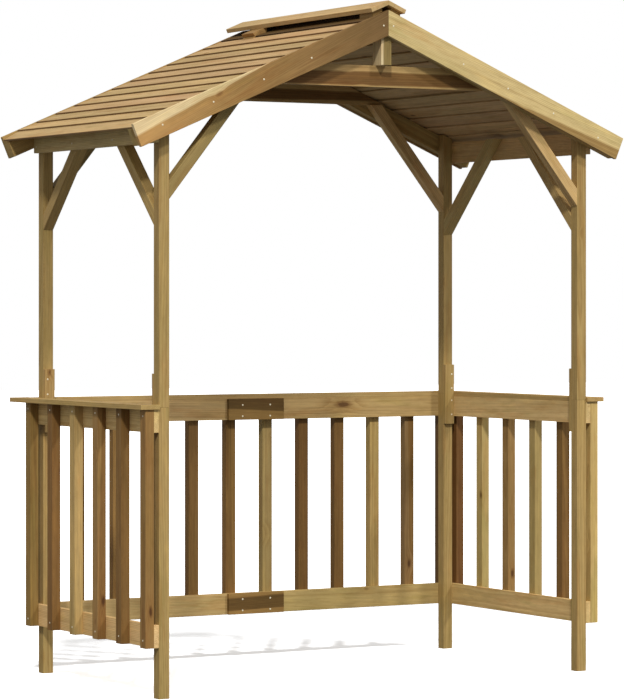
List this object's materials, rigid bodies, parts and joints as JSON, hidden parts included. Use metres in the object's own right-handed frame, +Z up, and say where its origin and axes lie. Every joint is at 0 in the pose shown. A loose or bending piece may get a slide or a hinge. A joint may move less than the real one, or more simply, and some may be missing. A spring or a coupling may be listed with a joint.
{
  "type": "garden gazebo",
  "caption": "Open garden gazebo of planed softwood: posts with knee braces, picket railings with counter boards on three sides and a pitched roof of lapped boards.",
  "frame": {"origin": "on the floor, below the middle of the whole", "axes": "+Z up, the open front towards -Y, +X to the right as seen from the front"},
  "size_m": [2.29, 1.253, 2.742],
  "materials": {
    "posts": "planed, matt",
    "rails": "planed, matt",
    "pickets": "planed, matt",
    "counters": "planed, matt",
    "plates": "planed, matt",
    "roof_boards": "planed, matt",
    "ridge_boards": "planed, matt",
    "braces": "planed, matt",
    "gable_boards": "planed, matt",
    "ties": "planed, matt",
    "rafters": "planed, matt",
    "splices": "planed, matt"
  },
  "bodies": {
    "root": {"back_bottom_rail": "rails", "back_collar_tie": "ties", "back_counter": "counters", "back_king_post": "ties", "back_left_eaves_brace": "braces", "back_left_gable_board": "gable_boards", "back_left_gable_brace": "braces", "back_left_lower_post": "posts", "back_left_rafter": "rafters", "back_left_upper_post": "posts", "back_pickets": "pickets", "back_rail_splices": "splices", "back_right_eaves_brace": "braces", "back_right_gable_board": "gable_boards", "back_right_gable_brace": "braces", "back_right_lower_post": "posts", "back_right_rafter": "rafters", "back_right_upper_post": "posts", "back_top_rail": "rails", "front_collar_tie": "ties", "front_king_post": "ties", "front_left_eaves_brace": "braces", "front_left_gable_board": "gable_boards", "front_left_gable_brace": "braces", "front_left_lower_post": "posts", "front_left_rafter": "rafters", "front_left_upper_post": "posts", "front_right_eaves_brace": "braces", "front_right_gable_board": "gable_boards", "front_right_gable_brace": "braces", "front_right_lower_post": "posts", "front_right_rafter": "rafters", "front_right_upper_post": "posts", "left_bottom_rail": "rails", "left_counter": "counters", "left_pickets": "pickets", "left_ridge_board": "ridge_boards", "left_roof_slope": "roof_boards", "left_top_rail": "rails", "left_wall_plate": "plates", "post_splices": "splices", "ridge_blocks": "ridge_boards", "right_bottom_rail": "rails", "right_counter": "counters", "right_pickets": "pickets", "right_ridge_board": "ridge_boards", "right_roof_slope": "roof_boards", "right_top_rail": "rails", "right_wall_plate": "plates"}
  },
  "joints": []
}
